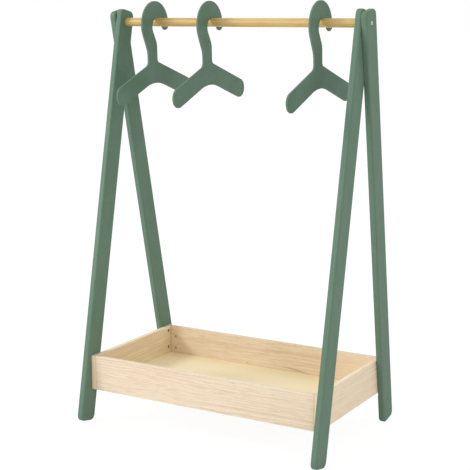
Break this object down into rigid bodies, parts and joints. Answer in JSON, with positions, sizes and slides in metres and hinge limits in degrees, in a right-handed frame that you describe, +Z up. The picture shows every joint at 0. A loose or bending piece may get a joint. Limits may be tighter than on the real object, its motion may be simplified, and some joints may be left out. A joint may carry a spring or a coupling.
{
  "type": "kids clothing rack",
  "caption": "Low A-frame clothing rack for children: crossed painted legs, a round wooden hanging bar with flat hangers that slide along it, and an open wooden tray near the floor.",
  "frame": {"origin": "on the floor, under the middle of the bar", "axes": "+X along the bar to the right, -Y to the front, +Z up"},
  "size_m": [0.6928, 0.4372, 1.0305],
  "materials": {
    "green_paint": "wood under satin sage green paint",
    "bar_wood": "clear lacquered honey beech",
    "tray_wood": "pale pine with fine straight grain, matt lacquer",
    "panel_wood": "thin pale plywood, matt lacquer",
    "steel": "zinc plated",
    "brass": "turned"
  },
  "bodies": {
    "frame": {"front_leg_left": "green_paint", "front_leg_right": "green_paint", "back_leg_left": "green_paint", "back_leg_right": "green_paint", "hanging_bar": "bar_wood", "bar_insert_left": "brass", "bar_insert_right": "brass", "bar_bolt_left": "steel", "bar_bolt_right": "steel", "tray_front_board": "tray_wood", "tray_back_board": "tray_wood", "tray_side_board_left": "tray_wood", "tray_side_board_right": "tray_wood", "tray_bottom_panel": "panel_wood", "leg_screws": "steel", "corner_bolts": "steel", "barrel_nuts": "steel"},
    "hanger_left": {"hanger_left": "green_paint"},
    "hanger_middle": {"hanger_middle": "green_paint"},
    "hanger_right": {"hanger_right": "green_paint"}
  },
  "joints": [
    {"name": "hanger_left_slide", "type": "slide", "parent": "frame", "child": "hanger_left", "axis": [1, 0, 0], "range_m": [-0.083, 0.074]},
    {"name": "hanger_middle_slide", "type": "slide", "parent": "frame", "child": "hanger_middle", "axis": [1, 0, 0], "range_m": [-0.074, 0.142]},
    {"name": "hanger_right_slide", "type": "slide", "parent": "frame", "child": "hanger_right", "axis": [1, 0, 0], "range_m": [-0.142, 0.085]}
  ]
}
